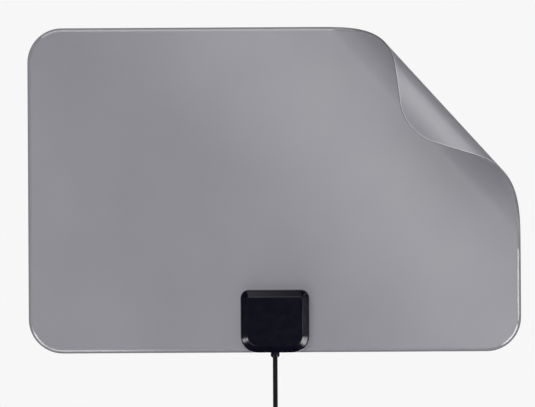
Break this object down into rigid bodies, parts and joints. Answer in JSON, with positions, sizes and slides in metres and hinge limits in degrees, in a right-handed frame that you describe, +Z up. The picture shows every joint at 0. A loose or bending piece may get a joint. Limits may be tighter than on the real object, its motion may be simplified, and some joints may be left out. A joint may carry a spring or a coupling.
{
  "type": "indoor tv antenna",
  "caption": "Flat grey film antenna with a rolled corner, a black bevelled housing on its lower edge and a thin coaxial lead with a push-on aerial plug.",
  "frame": {"origin": "middle of the flat sheet, on its back face", "axes": "+X to the right along the sheet's width, +Y backwards out of the sheet's back, +Z up"},
  "size_m": [0.33, 0.0681, 0.395],
  "materials": {
    "film_front": "satin, fine grain, warm grey",
    "film_back": "satin, light lilac grey",
    "foil": "rolled foil",
    "housing": "black, semi-gloss moulding",
    "board": "green solder mask",
    "screws": "zinc plated",
    "contact": "spring strip",
    "ferrite": "fired ferrite",
    "winding": "copper wire",
    "chips": "ceramic chip",
    "jacket": "black flexible vinyl",
    "braid": "tinned braid",
    "dielectric": "white polyethylene",
    "strap": "black strap",
    "plug_metal": "nickel plated"
  },
  "bodies": {
    "root": {"back_film": "film_back", "front_film": "film_front", "radiator_left": "foil", "radiator_right": "foil", "housing_base": "housing", "housing_cover": "housing", "circuit_board": "board", "board_screws": "screws", "feed_contact_left": "contact", "feed_contact_right": "contact", "balun_core": "ferrite", "balun_winding": "winding", "chip_capacitors": "chips", "strain_relief": "jacket", "cable_lead": "jacket", "cable_shield": "braid", "cable_dielectric": "dielectric", "cable_core": "winding", "cable_hank": "jacket", "cable_tie": "strap", "cable_tail": "jacket", "plug_grip": "jacket", "plug_shell": "plug_metal", "plug_insulator": "dielectric", "plug_pin": "plug_metal"}
  },
  "joints": []
}
